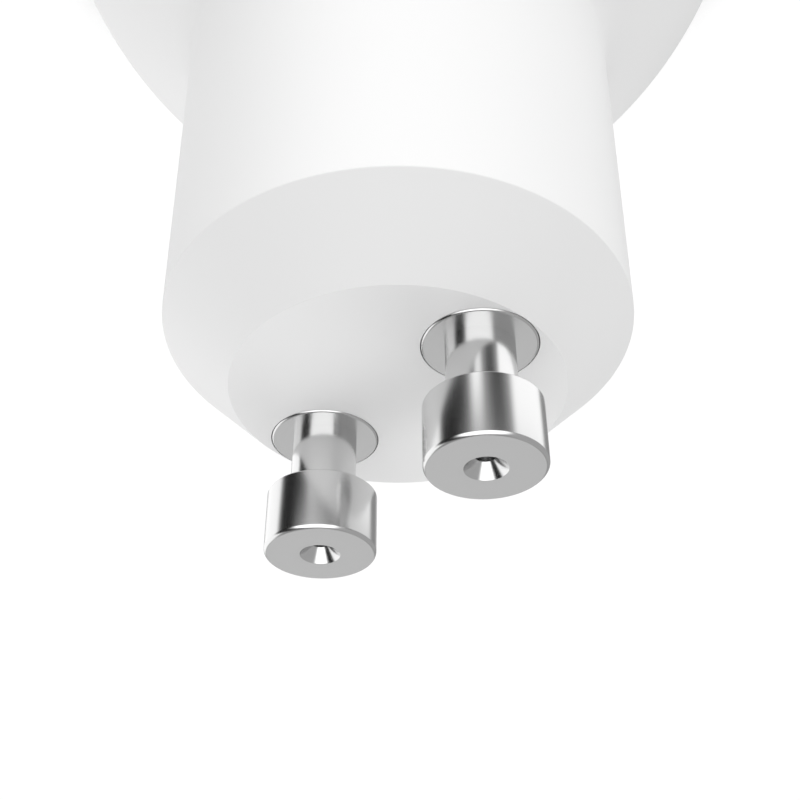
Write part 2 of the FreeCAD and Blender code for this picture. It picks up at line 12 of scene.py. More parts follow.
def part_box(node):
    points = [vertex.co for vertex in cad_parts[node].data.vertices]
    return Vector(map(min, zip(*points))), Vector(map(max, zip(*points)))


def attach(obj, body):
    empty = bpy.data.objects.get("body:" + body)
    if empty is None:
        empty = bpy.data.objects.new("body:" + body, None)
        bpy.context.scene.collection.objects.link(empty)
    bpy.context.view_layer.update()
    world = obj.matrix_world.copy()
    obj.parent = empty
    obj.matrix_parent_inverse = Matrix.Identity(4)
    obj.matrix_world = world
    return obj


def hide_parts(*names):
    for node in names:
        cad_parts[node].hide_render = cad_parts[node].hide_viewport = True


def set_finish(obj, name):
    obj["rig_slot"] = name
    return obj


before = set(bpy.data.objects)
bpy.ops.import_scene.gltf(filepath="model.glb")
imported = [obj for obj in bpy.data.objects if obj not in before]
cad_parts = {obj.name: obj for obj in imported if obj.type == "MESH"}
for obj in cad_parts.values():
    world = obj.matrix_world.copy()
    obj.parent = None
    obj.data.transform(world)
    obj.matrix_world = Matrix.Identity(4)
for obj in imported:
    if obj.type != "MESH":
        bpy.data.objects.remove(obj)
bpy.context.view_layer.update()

MM = 0.001
ROOT = "root"

# Sizes of the housing, in millimetres, the same as the solid's.
HOUSING_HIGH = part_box("housing")[1] / MM
RIM_R = HOUSING_HIGH.x
BODY_HEIGHT = HOUSING_HIGH.z
RIM_HEIGHT = 2.0
RIM_FILLET = 0.5
CONE_ANGLE = math.radians(22.35)
CONE_HEIGHT = 11.2
CUP_ARC_R = 33.0
CUP_WALL = 1.6
NECK_FILLET = 4.0
CAP_R = 10.79
CAP_CHAMFER = 3.24
CAP_DRAFT = math.radians(1.62)
CAP_WALL = 1.9
END_WALL = 2.8
LENS_SEAT_DEPTH = 3.0
LENS_LEDGE = 0.55

# Small roundings on the cap's edges, in millimetres, which the solid doesn't have.
CAP_EDGE_FILLET = 0.12
FACE_EDGE_FILLET = 0.03
FACE_EDGE_WIDTH = 0.015

# Places on the cap. Inside, the chamfer is followed a wall below it, from the bore to the end wall.
FACE_R = CAP_R - CAP_CHAMFER
CHAMFER_Z = BODY_HEIGHT - CAP_CHAMFER
CAP_NORMAL = Vector((math.cos(CAP_DRAFT), math.sin(CAP_DRAFT)))
CHAMFER_DROP = CAP_WALL * math.sqrt(2)
END_WALL_Z = BODY_HEIGHT - END_WALL
END_WALL_R = FACE_R + END_WALL - CHAMFER_DROP
BORE_R = CAP_R - CAP_WALL / math.cos(CAP_DRAFT)
BORE_TOP_DROP = (CHAMFER_DROP - CAP_R + BORE_R) / (1 - math.tan(CAP_DRAFT))
BORE_TOP = Vector((BORE_R + BORE_TOP_DROP * math.tan(CAP_DRAFT), CHAMFER_Z - BORE_TOP_DROP))

# Places on the cup: a cone from the rim's band, then an arc, then a hollow fillet into the cap's side.
CONE_TOP = Vector((RIM_R - CONE_HEIGHT * math.tan(CONE_ANGLE), RIM_HEIGHT + CONE_HEIGHT))
CUP_NORMAL = Vector((math.cos(CONE_ANGLE), math.sin(CONE_ANGLE)))
CUP_CENTRE = CONE_TOP - CUP_NORMAL * CUP_ARC_R
CUP_INSIDE = CONE_TOP - CUP_NORMAL * CUP_WALL
SEAT_R = CUP_INSIDE.x + (CUP_INSIDE.y - LENS_SEAT_DEPTH) * math.tan(CONE_ANGLE) + LENS_LEDGE

# The ribs that guide the driver board's edges, in millimetres.
GUIDE_LENGTH = 12.0
GUIDE_WIDTH = 1.0
GUIDE_OVERLAP = 1.0
GUIDE_GAP = 0.1
GUIDE_BEVEL = 0.1

# Sizes of a contact pin, in millimetres.
PIN_X = 5.0
PIN_HEAD_R = 2.5
PIN_HEAD_LENGTH = 2.92
PIN_NECK_R = 1.5
PIN_FLANGE_R = 2.5
PIN_FLANGE_THICKNESS = 0.8
PIN_FLANGE_PROUD = 0.06
PIN_SHANK_R = 1.5
PIN_RIVET_R = 1.8
PIN_RIVET_THICKNESS = 0.5
PIN_BORE_R = 0.44
PIN_CENTRE_HOLE_DEPTH = 1.6
PIN_COUNTERSINK_R = 0.90
PIN_COUNTERSINK_DEPTH = 0.6
PIN_LEAD_BORE_DEPTH = 5.0
PIN_TIP_FILLET = 0.18
PIN_EDGE_FILLET = 0.06
PIN_FLANGE_FILLET = 0.12
PIN_MOUTH_FILLET = 0.02
PIN_CLEARANCE = 0.03

# Heights on a pin, from the front rim.
PIN_TIP_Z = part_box("contact_pin_left")[1].z / MM
PIN_HEAD_BASE_Z = PIN_TIP_Z - PIN_HEAD_LENGTH
PIN_CENTRE_HOLE_Z = PIN_TIP_Z - PIN_CENTRE_HOLE_DEPTH
PIN_FLANGE_TOP_Z = BODY_HEIGHT + PIN_FLANGE_PROUD
PIN_FLANGE_BASE_Z = PIN_FLANGE_TOP_Z - PIN_FLANGE_THICKNESS
PIN_RIVET_BASE_Z = END_WALL_Z - PIN_RIVET_THICKNESS
PIN_LEAD_BORE_Z = PIN_RIVET_BASE_Z + PIN_LEAD_BORE_DEPTH

# How finely round shapes are cut, which edges stay sharp, and how near joined points lie, in millimetres.
CUP_TURNS = 256
PIN_TURNS = 128
ARC_STEP = math.radians(6)
CUP_ARC_STEP = math.radians(1.5)
GUIDE_BEVEL_STEPS = 2
ROUND_PROFILE = 0.5
SHARP = math.radians(32)
WELD = 1e-4


def arc(centre, start, end, step=ARC_STEP):
    """Points from start to end about a centre, both ends among them."""
    first = start - centre
    turn = first.angle_signed(end - centre)
    count = max(2, math.ceil(abs(turn) / step))
    return [centre + Matrix.Rotation(-turn * part / count, 2) @ first for part in range(count + 1)]


def rounded(corners):
    """Points of an open outline. Each corner is its radius, its height and its fillet, 0 for a sharp one."""
    places = [Vector(corner[:2]) for corner in corners]
    points = [places[0]]
    for number in range(1, len(corners) - 1):
        here = places[number]
        fillet = corners[number][2]
        if fillet == 0:
            points.append(here)
            continue
        back = (places[number - 1] - here).normalized()
        on = (places[number + 1] - here).normalized()
        half = back.angle(on) / 2
        reach = fillet / math.tan(half)
        centre = here + (back + on).normalized() * (fillet / math.sin(half))
        points += arc(centre, here + back * reach, here + on * reach)
    points.append(places[-1])
    return points


def round_point(mesh, radius, angle, height, x, y):
    """A new point of a mesh, placed round an upright axis at x, y."""
    place = Vector((x + radius * math.cos(angle), y + radius * math.sin(angle), height))
    return mesh.verts.new(place * MM)


def turn_ring(mesh, radius, height, turns, x, y):
    """The points of one turn, or a single point on the axis."""
    if radius < WELD:
        return [round_point(mesh, 0, 0, height, x, y)]
    return [round_point(mesh, radius, math.tau * part / turns, height, x, y) for part in range(turns)]


def turn_strip(mesh, outline, turns, x=0.0, y=0.0):
    """A band of faces: an open outline in millimetres, turned about an upright axis at x, y."""
    rings = [turn_ring(mesh, point[0], point[1], turns, x, y) for point in outline]
    for lower, upper in zip(rings, rings[1:]):
        for part in range(turns):
            after = (part + 1) % turns
            corners = [lower[part % len(lower)], lower[after % len(lower)]]
            corners += [upper[after % len(upper)], upper[part % len(upper)]]
            mesh.faces.new(list(dict.fromkeys(corners)))
    return rings


def bridge(mesh, first, second):
    """Faces between two closed rings of as many points."""
    for number in range(len(first)):
        mesh.faces.new([first[number - 1], first[number], second[number], second[number - 1]])


def ring_edges(mesh, ring):
    """The edges of a closed ring of points."""
    return [mesh.edges.get((ring[number - 1], ring[number])) for number in range(len(ring))]


def finish_mesh(mesh, name, place=(0, 0, 0)):
    """An object of a mesh, its normals outwards, smooth but for its sharp edges."""
    bmesh.ops.remove_doubles(mesh, verts=mesh.verts, dist=WELD * MM)
    bmesh.ops.recalc_face_normals(mesh, faces=mesh.faces)
    data = bpy.data.meshes.new(name)
    mesh.to_mesh(data)
    mesh.free()
    data.shade_smooth()
    data.set_sharp_from_angle(angle=SHARP)
    piece = bpy.data.objects.new(name, data)
    piece.location = place
    bpy.context.scene.collection.objects.link(piece)
    weighted = piece.modifiers.new("even_shading", "WEIGHTED_NORMAL")
    weighted.keep_sharp = True
    return piece


def meeting(side_r, arc_r):
    """Where a drafted side, given by its radius at the chamfer, meets an arc about the cup's centre."""
    slope = math.tan(CAP_DRAFT)
    reach = side_r - CUP_CENTRE.x + (CHAMFER_Z - CUP_CENTRE.y) * slope
    spread = 1 + slope**2
    rise = (reach * slope + math.sqrt(arc_r**2 * spread - reach**2)) / spread
    return CUP_CENTRE + Vector((reach - slope * rise, rise))


def housing_outside():
    """From the seat's edge over the rim, up the cup and the cap to the end face."""
    rim = rounded(
        [
            (SEAT_R, 0, 0),
            (RIM_R, 0, RIM_FILLET),
            (RIM_R, RIM_HEIGHT, RIM_FILLET),
            (CONE_TOP.x, CONE_TOP.y, 0),
        ]
    )
    neck = meeting(CAP_R + NECK_FILLET / math.cos(CAP_DRAFT), CUP_ARC_R + NECK_FILLET)
    cup_end = CUP_CENTRE + (neck - CUP_CENTRE).normalized() * CUP_ARC_R
    side_start = neck - CAP_NORMAL * NECK_FILLET
    cup = arc(CUP_CENTRE, CONE_TOP, cup_end, CUP_ARC_STEP)
    hollow = arc(neck, cup_end, side_start)
    cap = rounded(
        [
            (side_start.x, side_start.y, 0),
            (CAP_R, CHAMFER_Z, CAP_EDGE_FILLET),
            (FACE_R, BODY_HEIGHT, FACE_EDGE_FILLET),
            (FACE_R - FACE_EDGE_WIDTH, BODY_HEIGHT, 0),
        ]
    )
    return rim[:-1] + cup[:-1] + hollow[:-1] + cap


def housing_inside():
    """From the end wall's inner face down the bore and the cup to the lens's seat."""
    bore_end = meeting(BORE_R, CUP_ARC_R - CUP_WALL)
    bore = [Vector((END_WALL_R, END_WALL_Z)), BORE_TOP]
    cup = arc(CUP_CENTRE, bore_end, CUP_INSIDE, CUP_ARC_STEP)
    ledge = [
        Vector((SEAT_R - LENS_LEDGE, LENS_SEAT_DEPTH)),
        Vector((SEAT_R, LENS_SEAT_DEPTH)),
        Vector((SEAT_R, 0)),
    ]
    return bore + cup + ledge


def add_guide(mesh, low, high):
    """A rib with small bevels, rooted in the bore's wall."""
    block = bmesh.ops.create_cube(mesh, size=1)["verts"]
    bmesh.ops.scale(mesh, vec=(high - low) * MM, verts=block)
    bmesh.ops.translate(mesh, vec=(high + low) / 2 * MM, verts=block)
    bmesh.ops.bevel(
        mesh,
        geom=list({edge for vert in block for edge in vert.link_edges}),
        offset=GUIDE_BEVEL * MM,
        segments=GUIDE_BEVEL_STEPS,
        affect="EDGES",
        profile=ROUND_PROFILE,
    )


def add_guides(mesh):
    """Two ribs on each side of the bore, with the board's edge between them."""
    board_low, board_high = (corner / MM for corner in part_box("driver_board"))
    edge = board_high.x - GUIDE_OVERLAP
    wall = CAP_R - CAP_WALL / 2
    for y in (board_low.y - GUIDE_GAP - GUIDE_WIDTH, board_high.y + GUIDE_GAP):
        for near, far in ((edge, wall), (-wall, -edge)):
            low = Vector((near, y, BORE_TOP.y - GUIDE_LENGTH))
            add_guide(mesh, low, Vector((far, y + GUIDE_WIDTH, BORE_TOP.y)))


def make_housing():
    """The moulding, with a stepped seat for each pin in its end wall."""
    mesh = bmesh.new()
    outer = turn_strip(mesh, housing_outside(), CUP_TURNS)
    inner = turn_strip(mesh, housing_inside(), CUP_TURNS)
    seat_r = PIN_FLANGE_R + PIN_CLEARANCE
    hole_r = PIN_SHANK_R + PIN_CLEARANCE
    seat = [
        (seat_r, BODY_HEIGHT),
        (seat_r, PIN_FLANGE_BASE_Z),
        (hole_r, PIN_FLANGE_BASE_Z),
        (hole_r, END_WALL_Z),
    ]
    seats = [turn_strip(mesh, seat, PIN_TURNS, x) for x in (-PIN_X, PIN_X)]
    face = [outer[-1], *(rings[0] for rings in seats)]
    back = [inner[0], *(rings[-1] for rings in seats)]
    for rings in (face, back):
        edges = [edge for ring in rings for edge in ring_edges(mesh, ring)]
        bmesh.ops.triangle_fill(mesh, edges=edges, use_beauty=True, normal=(0, 0, 1))
    add_guides(mesh)
    piece = finish_mesh(mesh, "housing_moulding")
    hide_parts("housing")
    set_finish(piece, "housing_white")
    return piece


def pin_outline():
    """A turned pin, from the end of the lead's bore round the outside to the end of the centre hole."""
    return rounded(
        [
            (0, PIN_LEAD_BORE_Z, 0),
            (PIN_BORE_R, PIN_LEAD_BORE_Z, 0),
            (PIN_BORE_R, PIN_RIVET_BASE_Z, PIN_EDGE_FILLET),
            (PIN_RIVET_R, PIN_RIVET_BASE_Z, PIN_TIP_FILLET),
            (PIN_RIVET_R, END_WALL_Z, 0),
            (PIN_SHANK_R, END_WALL_Z, 0),
            (PIN_SHANK_R, PIN_FLANGE_BASE_Z, 0),
            (PIN_FLANGE_R, PIN_FLANGE_BASE_Z, 0),
            (PIN_FLANGE_R, PIN_FLANGE_TOP_Z, PIN_FLANGE_FILLET),
            (PIN_NECK_R, PIN_FLANGE_TOP_Z, 0),
            (PIN_NECK_R, PIN_HEAD_BASE_Z, 0),
            (PIN_HEAD_R, PIN_HEAD_BASE_Z, PIN_EDGE_FILLET),
            (PIN_HEAD_R, PIN_TIP_Z, PIN_TIP_FILLET),
            (PIN_COUNTERSINK_R, PIN_TIP_Z, PIN_MOUTH_FILLET),
            (PIN_BORE_R, PIN_TIP_Z - PIN_COUNTERSINK_DEPTH, 0),
            (PIN_BORE_R, PIN_CENTRE_HOLE_Z, 0),
            (0, PIN_CENTRE_HOLE_Z, 0),
        ]
    )


def make_pin(side, x):
    """A contact pin, turned about its own axis."""
    mesh = bmesh.new()
    turn_strip(mesh, pin_outline(), PIN_TURNS)
    piece = finish_mesh(mesh, f"pin_turned_{side}", (x * MM, 0, 0))
    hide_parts(f"contact_pin_{side}")
    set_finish(piece, "contact_metal")
    return piece


# Places behind the lens, in millimetres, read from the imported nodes.
BOARD_FACE_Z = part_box("led_board")[0].z / MM
EMITTER_R = sum(corner.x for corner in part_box("led_2")) / 2 / MM
PASSAGE = EMITTER_R / 2

# The two screws that hold the board, in millimetres.
SCREW_HEAD_R = 1.8
SCREW_HEAD_HEIGHT = 1.2
SCREW_HEAD_FILLET = 0.4
SCREW_FACE_R = 1.3
SCREW_R = 1.0
SCREW_THREAD_DEPTH = 0.2
SCREW_ROOT_R = SCREW_R - SCREW_THREAD_DEPTH
SCREW_PITCH = 0.4
SCREW_END_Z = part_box("board_screws")[1].z / MM
CROSS_REACH = 0.95
CROSS_HALF_WIDTH = 0.2
CROSS_DEPTH = 0.7
CROSS_TAPER = 0.45
SCREW_TURNS = 48
THREAD_ROWS = 12


def cross_ring(mesh, y, height, scale):
    """The points of a cross, arm by arm."""
    reach = CROSS_REACH * scale
    half = CROSS_HALF_WIDTH * scale
    ring = []
    for quarter in range(4):
        turn = Matrix.Rotation(quarter * math.pi / 2, 2)
        for corner in ((reach, -half), (reach, half), (half, half)):
            flat = turn @ Vector(corner)
            ring.append(mesh.verts.new(Vector((flat.x, flat.y + y, height)) * MM))
    return ring


def thread_ring(mesh, y, low, high, height):
    """One ring of a thread, which fades out over a pitch at either end."""
    rise = (height - low) / SCREW_PITCH
    ends = min(1, rise, (high - height) / SCREW_PITCH)
    ring = []
    for part in range(SCREW_TURNS):
        way = (rise - part / SCREW_TURNS) % 1
        crest = ends * (1 - abs(2 * way - 1))
        radius = SCREW_ROOT_R + SCREW_THREAD_DEPTH * crest
        ring.append(round_point(mesh, radius, math.tau * part / SCREW_TURNS, height, 0, y))
    return ring


def add_thread(mesh, y, low, high):
    """A screw's shank with one start of thread, closed at its end."""
    rows = math.ceil((high - low) / SCREW_PITCH * THREAD_ROWS)
    heights = [low + (high - low) * row / rows for row in range(rows + 1)]
    rings = [thread_ring(mesh, y, low, high, height) for height in heights]
    for first, second in zip(rings, rings[1:]):
        bridge(mesh, first, second)
    mesh.faces.new(rings[-1])


def add_screw(mesh, y):
    """A pan head with a cross recess, and its threaded shank."""
    face_z = BOARD_FACE_Z - SCREW_HEAD_HEIGHT
    head = rounded(
        [
            (SCREW_FACE_R, face_z, 0),
            (SCREW_HEAD_R, face_z, SCREW_HEAD_FILLET),
            (SCREW_HEAD_R, BOARD_FACE_Z, 0),
            (SCREW_ROOT_R, BOARD_FACE_Z, 0),
        ]
    )
    rings = turn_strip(mesh, head, SCREW_TURNS, 0, y)
    mouth = cross_ring(mesh, y, face_z, 1)
    foot = cross_ring(mesh, y, face_z + CROSS_DEPTH, CROSS_TAPER)
    bridge(mesh, mouth, foot)
    mesh.faces.new(foot)
    edges = ring_edges(mesh, rings[0]) + ring_edges(mesh, mouth)
    bmesh.ops.triangle_fill(mesh, edges=edges, use_beauty=True, normal=(0, 0, -1))
    add_thread(mesh, y, BOARD_FACE_Z, SCREW_END_Z)


def make_screws():
    """Both screws, as the one node has them."""
    mesh = bmesh.new()
    for y in (-PASSAGE, PASSAGE):
        add_screw(mesh, y)
    piece = finish_mesh(mesh, "screws_cross_headed")
    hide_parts("board_screws")
    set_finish(piece, "screw_steel")
    return piece


# The choke's winding, in millimetres.
WIRE_R = 0.18
WIRE_GAP = 0.02
WIRE_PITCH = 2 * WIRE_R + WIRE_GAP
WIRE_SIDES = 8
WIRE_STEPS = 40
WINDING_LAYERS = 3


def add_coil(mesh, centre, radius, low, high):
    """Wire wound round an upright axis, its ends closed."""
    turns = (high - low - 2 * WIRE_R) / WIRE_PITCH
    steps = math.ceil(turns * WIRE_STEPS)
    rings = []
    for step in range(steps + 1):
        turned_by = turns * step / steps
        angle = math.tau * turned_by
        out = Vector((math.cos(angle), math.sin(angle), 0))
        middle = centre + out * radius + Vector((0, 0, low + WIRE_R + WIRE_PITCH * turned_by))
        ring = []
        for side in range(WIRE_SIDES):
            lean = math.tau * side / WIRE_SIDES
            offset = out * math.cos(lean) + Vector((0, 0, math.sin(lean)))
            ring.append(mesh.verts.new((middle + offset * WIRE_R) * MM))
        rings.append(ring)
    for first, second in zip(rings, rings[1:]):
        bridge(mesh, first, second)
    mesh.faces.new(rings[0])
    mesh.faces.new(rings[-1])


def make_winding():
    """The choke's copper, wound in layers where its solid lies."""
    low, high = (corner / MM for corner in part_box("inductor_winding"))
    centre = (low + high) / 2
    centre.z = 0
    outer = (high.x - low.x) / 2 - WIRE_R
    mesh = bmesh.new()
    for layer in range(WINDING_LAYERS):
        add_coil(mesh, centre, outer - layer * WIRE_PITCH, low.z, high.z)
    piece = finish_mesh(mesh, "winding_turns")
    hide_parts("inductor_winding")
    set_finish(piece, "copper_wire")
    return piece


# The solder round a lead's end, in millimetres.
SOLDER_R = 0.95
SOLDER_HEIGHT = 0.45
SOLDER_HOLLOW_R = 0.75


def make_solder(side):
    """Solder drawn up round a lead's end, hollow in the flank."""
    low, high = (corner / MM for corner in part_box(f"led_lead_{side}"))
    lead_r = (high.x - low.x) / 2
    foot = Vector((SOLDER_R, BOARD_FACE_Z))
    tip = Vector((lead_r, BOARD_FACE_Z - SOLDER_HEIGHT))
    across = Vector((foot.y - tip.y, tip.x - foot.x)).normalized()
    half = (foot - tip).length / 2
    centre = (foot + tip) / 2 + across * math.sqrt(SOLDER_HOLLOW_R**2 - half**2)
    start = Vector((lead_r, BOARD_FACE_Z))
    mesh = bmesh.new()
    turn_strip(mesh, [start, *arc(centre, foot, tip), start], SCREW_TURNS)
    piece = finish_mesh(mesh, f"solder_joint_{side}", ((low.x + high.x) / 2 * MM, 0, 0))
    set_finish(piece, "lead_tin")
    return piece


# The sockets of a node that mixes colours: two colours in, one out.
MIX_FIRST = 6
MIX_SECOND = 7
MIX_RESULT = 2


class Nodes:
    """Shorthand for making and joining the nodes of a tree."""

    def __init__(self, tree):
        self.tree = tree

    def add(self, kind):
        return self.tree.nodes.new("ShaderNode" + kind)

    def join(self, source, target):
        """Links a socket, or sets a plain value."""
        if hasattr(source, "is_output"):
            self.tree.links.new(source, target)
        else:
            target.default_value = source

    def math(self, operation, *inputs):
        node = self.add("Math")
        node.operation = operation
        for number, source in enumerate(inputs):
            self.join(source, node.inputs[number])
        return node.outputs[0]

    def vector(self, operation, *inputs, result="Vector"):
        node = self.add("VectorMath")
        node.operation = operation
        for number, source in enumerate(inputs):
            self.join(source, node.inputs[number])
        return node.outputs[result]

    def dot(self, source, axis):
        return self.vector("DOT_PRODUCT", source, axis, result="Value")

    def length(self, source):
        return self.vector("LENGTH", source, result="Value")

    def spread(self, source, low, high, smooth=False):
        """A value carried from low..high to 0..1, and held to that."""
        node = self.add("MapRange")
        node.interpolation_type = "SMOOTHSTEP" if smooth else "LINEAR"
        self.join(source, node.inputs["Value"])
        node.inputs["From Min"].default_value = low
        node.inputs["From Max"].default_value = high
        return node.outputs[0]

    def between(self, source, low, high):
        """A value of 0..1 carried to low..high."""
        node = self.add("MapRange")
        self.join(source, node.inputs["Value"])
        node.inputs["To Min"].default_value = low
        node.inputs["To Max"].default_value = high
        return node.outputs[0]

    def place(self, kind="Object"):
        return self.add("TexCoord").outputs[kind]

    def millimetres(self):
        """A place on the object, in millimetres."""
        node = self.add("VectorMath")
        node.operation = "SCALE"
        self.join(self.place(), node.inputs[0])
        node.inputs["Scale"].default_value = 1 / MM
        return node.outputs[0]

    def parts(self, source):
        node = self.add("SeparateXYZ")
        self.join(source, node.inputs[0])
        return node.outputs

    def off_middle(self):
        """How far a place lies off the middle of its object's box, across and along, in shares of the box."""
        across, along, _ = self.parts(self.place("Generated"))
        return [self.math("SUBTRACT", side, 0.5) for side in (across, along)]

    def facing(self, axis):
        """How far a surface faces along an axis, either way."""
        return self.math("ABSOLUTE", self.dot(self.add("NewGeometry").outputs["Normal"], axis))

    def round_axis(self, place):
        """A place seen as its distance from the upright axis and its height."""
        node = self.add("CombineXYZ")
        self.join(self.length(self.vector("MULTIPLY", place, (1, 1, 0))), node.inputs[0])
        self.join(self.parts(place)[2], node.inputs[1])
        return node.outputs[0]

    def near(self, place, spot, reach, soft):
        """1 within a reach of a spot, 0 past it."""
        return self.spread(self.vector("DISTANCE", place, spot, result="Value"), reach + soft, reach)

    def noise(self, place, scale, detail=2):
        node = self.add("TexNoise")
        self.join(place, node.inputs["Vector"])
        node.inputs["Scale"].default_value = scale
        node.inputs["Detail"].default_value = detail
        return node.outputs["Fac"]

    def tint(self, share, first, second):
        """A colour between two, each a colour or a socket."""
        node = self.add("Mix")
        node.data_type = "RGBA"
        self.join(share, node.inputs["Factor"])
        for source, number in ((first, MIX_FIRST), (second, MIX_SECOND)):
            self.join(source if hasattr(source, "is_output") else (*source, 1), node.inputs[number])
        return node.outputs[MIX_RESULT]

    def colour(self, shader, source):
        self.join(source, shader.inputs["Base Color"])

    def roughen(self, shader, share, finish):
        """A roughness that varies as a finish says."""
        self.join(self.between(share, finish.smooth, finish.rough), shader.inputs["Roughness"])

    def relief(self, shader, height, finish):
        """Fine relief, as deep as a finish says."""
        node = self.add("Bump")
        self.join(height, node.inputs["Height"])
        node.inputs["Distance"].default_value = finish.relief * MM
        self.join(node.outputs[0], shader.inputs["Normal"])

    def mix_shader(self, share, first, second):
        node = self.add("MixShader")
        self.join(share, node.inputs[0])
        self.join(first, node.inputs[1])
        self.join(second, node.inputs[2])
        return node.outputs[0]

    def surface(self, shader):
        """Ends the tree with a shader."""
        ends = [node for node in self.tree.nodes if node.bl_idname.startswith("ShaderNodeOutput")]
        self.join(shader, ends[0].inputs["Surface"])


class Finish(NamedTuple):
    """A surface: the two colours and the two roughnesses that it lies between, how many grains it has a
    millimetre, and the depth of its relief in millimetres."""

    dark: tuple
    light: tuple
    smooth: float
    rough: float
    grains: float
    relief: float


def grey(level):
    return (level, level, level)


PLASTIC = Finish(grey(0.815), grey(0.825), 0.5, 0.6, 7, 0.0004)
NICKEL = Finish(grey(0.665), grey(0.7), 0.17, 0.23, 22, 0.0002)
ALUMINIUM = Finish((0.66, 0.67, 0.68), (0.76, 0.77, 0.78), 0.3, 0.42, 8, 0.002)
STEEL = Finish((0.58, 0.58, 0.57), (0.70, 0.70, 0.69), 0.2, 0.35, 14, 0.001)
TIN = Finish((0.62, 0.62, 0.61), (0.78, 0.78, 0.77), 0.2, 0.4, 5, 0.004)
COPPER = Finish((0.45, 0.16, 0.06), (0.62, 0.27, 0.12), 0.2, 0.35, 3, 0.003)
FERRITE = Finish((0.025, 0.024, 0.023), (0.06, 0.058, 0.055), 0.5, 0.75, 9, 0.02)
FILM_BOX = Finish((0.62, 0.40, 0.03), (0.70, 0.48, 0.06), 0.35, 0.5, 6, 0.01)
COMPOUND = Finish((0.012, 0.012, 0.013), (0.03, 0.03, 0.032), 0.5, 0.7, 12, 0.02)
PACKAGE = Finish((0.78, 0.78, 0.76), (0.86, 0.86, 0.84), 0.4, 0.6, 9, 0.004)
WHITE_MASK = Finish((0.80, 0.80, 0.79), (0.87, 0.86, 0.83), 0.3, 0.45, 5, 0.03)
GREEN_MASK = Finish((0.01, 0.12, 0.04), (0.03, 0.24, 0.08), 0.25, 0.45, 4, 0.04)
SLEEVE = Finish((0.012, 0.014, 0.03), (0.02, 0.024, 0.05), 0.25, 0.4, 3, 0.01)
# These two have one tone all over.
LACQUER_TONE = (0.30, 0.42, 0.40)
LACQUER = Finish(LACQUER_TONE, LACQUER_TONE, 0.3, 0.45, 6, 0.01)
CLEAR_TONE = (0.98, 0.985, 0.98)
CLEAR = Finish(CLEAR_TONE, CLEAR_TONE, 0.01, 0.05, 0.5, 0.004)


def new_material(name):
    """A material, its nodes and its shader."""
    material = bpy.data.materials.new(name)
    material.use_nodes = True
    return material, Nodes(material.node_tree), material.node_tree.nodes["Principled BSDF"]


def mottled(name, finish, metallic=0, lathed=False):
    """A surface with a grain, which runs round the object's upright axis where it comes off a lathe."""
    material, nodes, shader = new_material(name)
    place = nodes.millimetres()
    grain = nodes.noise(nodes.round_axis(place) if lathed else place, finish.grains)
    nodes.colour(shader, nodes.tint(grain, finish.dark, finish.light))
    nodes.roughen(shader, grain, finish)
    nodes.relief(shader, grain, finish)
    shader.inputs["Metallic"].default_value = metallic
    return material


def turned(name, finish):
    """Bright metal with fine marks round its axis."""
    return mottled(name, finish, metallic=1, lathed=True)


# The moulding's clouds of tone: how many a millimetre, and their detail. Then how much it shines.
PLASTIC_CLOUDS = 0.12
CLOUD_DETAIL = 3
PLASTIC_SHINE = 0.25


def plastic():
    """White satin moulding: a faint cloud of tone and a very fine grain."""
    material, nodes, shader = new_material("white_plastic")
    place = nodes.millimetres()
    cloud = nodes.noise(place, PLASTIC_CLOUDS, CLOUD_DETAIL)
    grain = nodes.noise(place, PLASTIC.grains)
    nodes.colour(shader, nodes.tint(cloud, PLASTIC.dark, PLASTIC.light))
    nodes.roughen(shader, grain, PLASTIC)
    nodes.relief(shader, grain, PLASTIC)
    shader.inputs["Specular IOR Level"].default_value = PLASTIC_SHINE
    return material


# An emitter's window, in shares of its package: where it has faded out, and where it is full.
WINDOW_REACH = (0.4, 0.38)
WINDOW_DEPTH = (0.26, 0.24)
PHOSPHOR_DARK = (0.86, 0.62, 0.08)
PHOSPHOR_LIGHT = (0.93, 0.74, 0.16)


def emitter():
    """A white package with a yellow window."""
    material, nodes, shader = new_material("emitter_package")
    squares = [nodes.math("POWER", side, 2) for side in nodes.off_middle()]
    reach = nodes.math("SQRT", nodes.math("ADD", *squares))
    deep = nodes.parts(nodes.place("Generated"))[2]
    window = nodes.math("MULTIPLY", nodes.spread(reach, *WINDOW_REACH), nodes.spread(deep, *WINDOW_DEPTH))
    grain = nodes.noise(nodes.millimetres(), PACKAGE.grains)
    body = nodes.tint(grain, PACKAGE.dark, PACKAGE.light)
    phosphor = nodes.tint(grain, PHOSPHOR_DARK, PHOSPHOR_LIGHT)
    nodes.colour(shader, nodes.tint(window, body, phosphor))
    nodes.roughen(shader, grain, PACKAGE)
    nodes.relief(shader, grain, PACKAGE)
    return material


# The emitters' board, in millimetres: half the copper's width round the emitters' circle, and its pads.
COPPER_HALF_WIDTH = (2.35, 2.2)
PAD_R = 1.05
PAD_SOFT = 0.05
# What the mask leaves bare, and how much its grain adds to the relief of the copper.
BARE_METAL = (0.72, 0.72, 0.70)
MASK_GRAIN = 0.1
# How squarely either board's surface faces out where its edge sets in, and where it is all edge.
EDGE_FACING = (0.6, 0.4)


